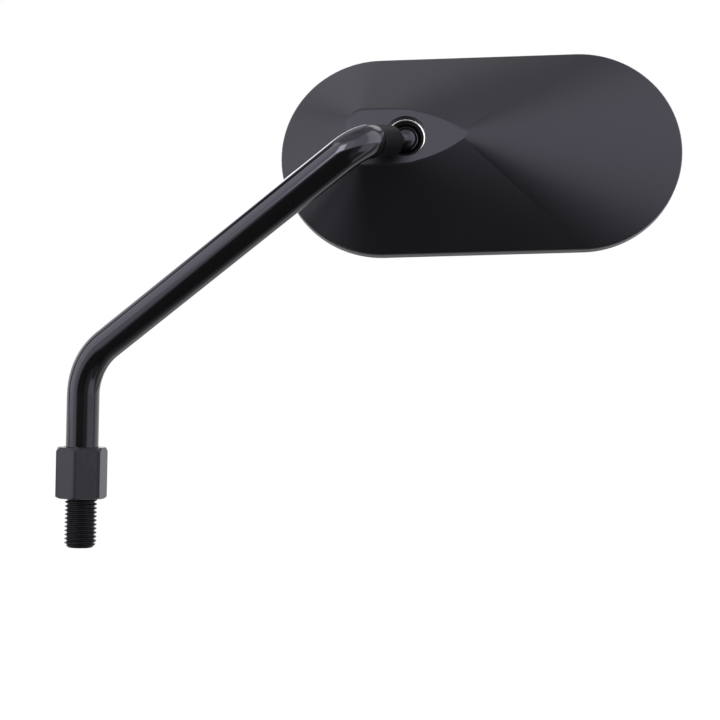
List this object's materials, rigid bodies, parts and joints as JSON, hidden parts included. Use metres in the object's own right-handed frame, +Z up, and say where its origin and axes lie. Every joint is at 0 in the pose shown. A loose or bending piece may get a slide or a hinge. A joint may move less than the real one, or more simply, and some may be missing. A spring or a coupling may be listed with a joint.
{
  "type": "motorcycle mirror",
  "caption": "Oblong convex rear-view mirror on a bent round arm. Its tapered housing turns on a ball stud, and a threaded end with a lock nut screws into a handlebar perch.",
  "frame": {"origin": "on the threaded stud's axis, at the lock nut's lower face", "axes": "+Z up along the stud, +X level to the right as seen from the front of the motorcycle, +Y back towards the rider, where the glass faces"},
  "size_m": [0.1898, 0.054, 0.1556],
  "materials": {
    "arm_paint": "gloss black",
    "nut_finish": "satin black",
    "sleeve_plastic": "matt black",
    "stud_steel": "polished dark steel",
    "housing_plastic": "satin black",
    "seat_plastic": "black",
    "ring_steel": "bright wire",
    "spring_steel": "plain",
    "mirror_glass": "silvered at the back",
    "pad_foam": "foam tape"
  },
  "bodies": {
    "arm": {"arm": "arm_paint", "ball_stud": "stud_steel"},
    "lock_nut": {"lock_nut": "nut_finish"},
    "sleeve": {"sleeve": "sleeve_plastic"},
    "seats": {"seat_cup": "seat_plastic", "seat_ring": "seat_plastic"},
    "head": {"housing": "housing_plastic", "snap_ring": "ring_steel", "disc_spring": "spring_steel", "mirror_glass": "mirror_glass", "glass_pad": "pad_foam"}
  },
  "joints": [
    {"name": "lock_nut_travel", "type": "slide", "parent": "arm", "child": "lock_nut", "axis": [0, 0, 1], "range_m": [-0.0125, 0]},
    {"name": "head_swivel", "type": "hinge", "parent": "arm", "child": "sleeve", "pos_m": [0.09728, -0.01358, 0.11004], "axis": [-0.4675, -0.8756, -0.1219], "range_deg": [-90, 90]},
    {"name": "head_tilt", "type": "hinge", "parent": "sleeve", "child": "seats", "pos_m": [0.09728, -0.01358, 0.11004], "axis": [-0.5513, 0.181, 0.8144], "range_deg": [-65, 4.9]},
    {"name": "head_roll", "type": "hinge", "parent": "seats", "child": "head", "pos_m": [0.09728, -0.01358, 0.11004], "axis": [-0.0584, -0.9822, 0.1788], "range_deg": [-90, 90]}
  ]
}
